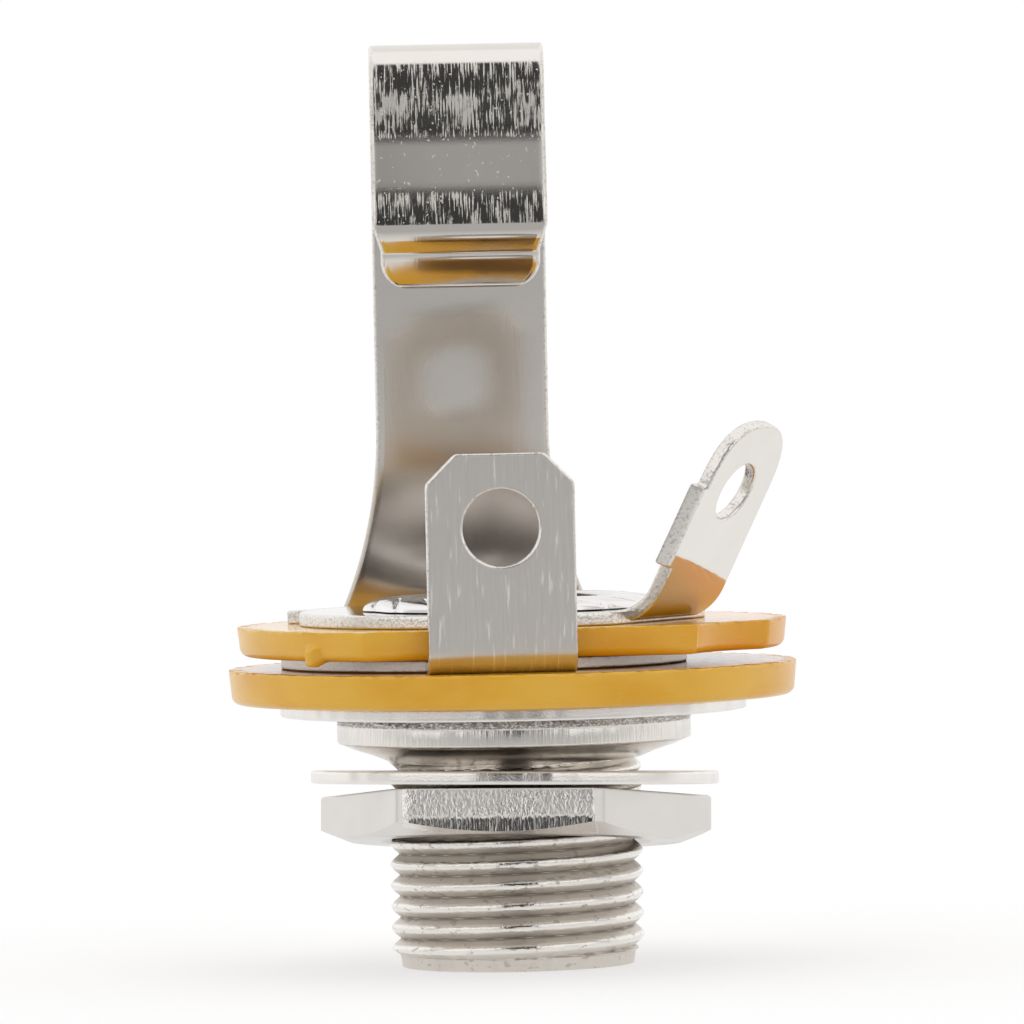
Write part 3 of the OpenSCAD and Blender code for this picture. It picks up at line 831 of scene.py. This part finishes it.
nut_angle = nut_turned + np.linspace(0, 2 * pi, 360, endpoint=False)
from_flat = (nut_angle - nut_turned) % radians(60) - radians(30)
hexagon = np.minimum(nut_flat_r / np.cos(from_flat), nut_corner_r - corner_worn)
crease_z = (hexagon - nut_face_r) / chamfer_run
cone_share = np.linspace(0, 1, 8)[:, None]
side_share = np.linspace(0, 1, 14)[1:, None]
side_z = crease_z + (nut_h - edge_drop - crease_z) * side_share
around = np.ones_like(nut_angle)
nut_r = np.concatenate([
    np.array([[nut_hole_r + nut_entry], [nut_face_r - 0.25]]) * around,
    nut_face_r + (hexagon - nut_face_r) * cone_share,
    hexagon + 0 * side_z,
    hexagon - edge_middle + 0 * side_z[:1],
    hexagon - edge_inset + 0 * side_z[:1],
    np.array([[nut_hole_r + nut_entry], [nut_hole_r], [nut_hole_r]]) * around])
nut_z = np.concatenate([
    np.array([[0.0], [0.0]]) * around,
    crease_z * cone_share,
    side_z,
    nut_h - edge_middle + 0 * side_z[:1],
    nut_h + 0 * side_z[:1],
    np.array([[nut_h], [nut_h - nut_entry], [nut_entry]]) * around])
nut_grid = np.stack([nut_r * np.cos(nut_angle), nut_r * np.sin(nut_angle), nut_z - nut_h / 2], axis=-1)
nut_grid = leaning(nut_grid, nut_lean, nut_mid)

nut_nickel, place = start_finish("nut_nickel")
x, y, z = place.parts()
front_facet = nut_turned - pi / 2
along_facet = cos(front_facet) * y - sin(front_facet) * x
on_front = y.band(-5.5 * MM, -6.0 * MM) * abs(along_facet).band(3.62 * MM, 3.55 * MM)
pits = place.speckle((8, 8, 5), 3)
scores = place.speckle((12, 12, 0.6), 2)
low_band = (z - 0.5 * MM * scores).band((nut_mid + 0.28) * MM, (nut_mid + 0.16) * MM) * on_front
clouds = place.speckle((0.5, 0.5, 0.5))
torn = on_front * (1 - low_band)
nut_rough = 0.24 + 0.14 * clouds - 0.17 * low_band - 0.04 * torn + 0.3 * low_band * scores.band(0.54, 0.74)
nut_relief = (0.06 + 0.9 * torn) * pits + 0.08 * low_band * scores + 0.05 * scores
nut_colour = clouds.blend((0.73, 0.70, 0.665), (0.67, 0.64, 0.605))
# Painted light: the upper part of the front facet, which also carries the torn texture, is coloured lighter
# than the other facets, standing in for light it catches.
end_finish(place, (0.8 * torn).blend(nut_colour, (0.92, 0.89, 0.855)), 1.0, nut_rough, nut_relief, 0.05)

nut = add_piece("mounting_nut_hexagon", nut_nickel, [nut_grid], sharp=20)
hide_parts("mounting_nut")
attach(nut, "nut")

# Stage
# The jack stands on the end of its thread on a plain white table, between soft boxes. The camera looks
# through the gap between them, so bright metal that faces it shows a dark strip.
camera_distance = 350 * MM
camera_rise = radians(1.3)
camera_roll = radians(-1.2)
view_centre = Vector((0.10, 0, 9.3)) * MM
view_width = 38.6 * MM
table_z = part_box("bushing")[0].z
table_half = 1.5
box_bright = 1.12
front_dark, back_dark, side_dark = 1.07, 0.15, 0.45
front_open, back_open, side_open = radians(16), radians(15), radians(9)

camera_data = bpy.data.cameras.new("camera")
camera_data.sensor_width = 36
camera_data.lens = camera_data.sensor_width * camera_distance / view_width
camera_data.clip_start = 10 * MM
camera_data.clip_end = 20
camera = bpy.data.objects.new("camera", camera_data)
look = Matrix.Rotation(pi / 2 - camera_rise, 4, "X") @ Matrix.Rotation(camera_roll, 4, "Z")
away = Vector((0, -cos(camera_rise), sin(camera_rise)))
camera.matrix_world = Matrix.Translation(view_centre + camera_distance * away) @ look
bpy.context.scene.collection.objects.link(camera)
bpy.context.scene.camera = camera
bpy.context.scene.view_settings.view_transform = "Standard"

world = bpy.data.worlds.new("soft_boxes")
bpy.context.scene.world = world
world.use_nodes = True
world.node_tree.nodes.clear()
direction = Field(world.node_tree, world.node_tree.nodes.new("ShaderNodeTexCoord").outputs["Generated"])
rays = Field(world.node_tree, world.node_tree.nodes.new("ShaderNodeLightPath").outputs["Is Camera Ray"])
x, y, z = direction.parts()
below_top = z.band(0.945, 0.885)
front_gap = (abs(x) + y * tan(front_open)).band(0.03, -0.03) * below_top
back_gap = (abs(x) - y * tan(back_open)).band(0.08, -0.08) * below_top
side_gap = (abs(y) - abs(x) * tan(side_open)).band(0.08, -0.08) * below_top
box_light = box_bright - front_dark * front_gap - back_dark * back_gap - side_dark * side_gap
brightness = box_light + rays * (1 - box_light)
background = direction.node("ShaderNodeBackground", {}, {"Color": (1, 1, 1, 1), "Strength": brightness})
direction.node("ShaderNodeOutputWorld", {}, {"Surface": background})

table_mesh = bpy.data.meshes.new("table")
table_corners = [(-table_half, -table_half, table_z), (table_half, -table_half, table_z),
                 (table_half, table_half, table_z), (-table_half, table_half, table_z)]
table_mesh.from_pydata(table_corners, [], [(0, 1, 2, 3)])
table = bpy.data.objects.new("table", table_mesh)
bpy.context.scene.collection.objects.link(table)
table_white, place = start_finish("table_white")
path = place.tree.nodes.new("ShaderNodeLightPath")
seen = Field(place.tree, path.outputs["Is Camera Ray"])
mirrored = Field(place.tree, path.outputs["Is Glossy Ray"])
_, y, _ = place.parts()
paper = place.node("ShaderNodeBsdfDiffuse", {}, {"Color": (0.80, 0.80, 0.80, 1)})
glow = place.node("ShaderNodeEmission", {}, {"Color": (1, 1, 1, 1), "Strength": 1.4})
# Painted shade: in reflections the table glows dimmer in front, where the camera's shade would fall, and
# brighter behind.
floor_glow_painted_shade = place.node("ShaderNodeEmission", {}, {"Strength": 0.5 + 0.5 * y.band(-70 * MM, 10 * MM)})
lit = place.node("ShaderNodeMixShader", {}, {0: seen * 0.35, 1: paper, 2: glow})
lit = place.node("ShaderNodeMixShader", {}, {0: mirrored, 1: lit, 2: floor_glow_painted_shade})
place.node("ShaderNodeOutputMaterial", {}, {"Surface": lit})
table_mesh.materials.append(table_white)
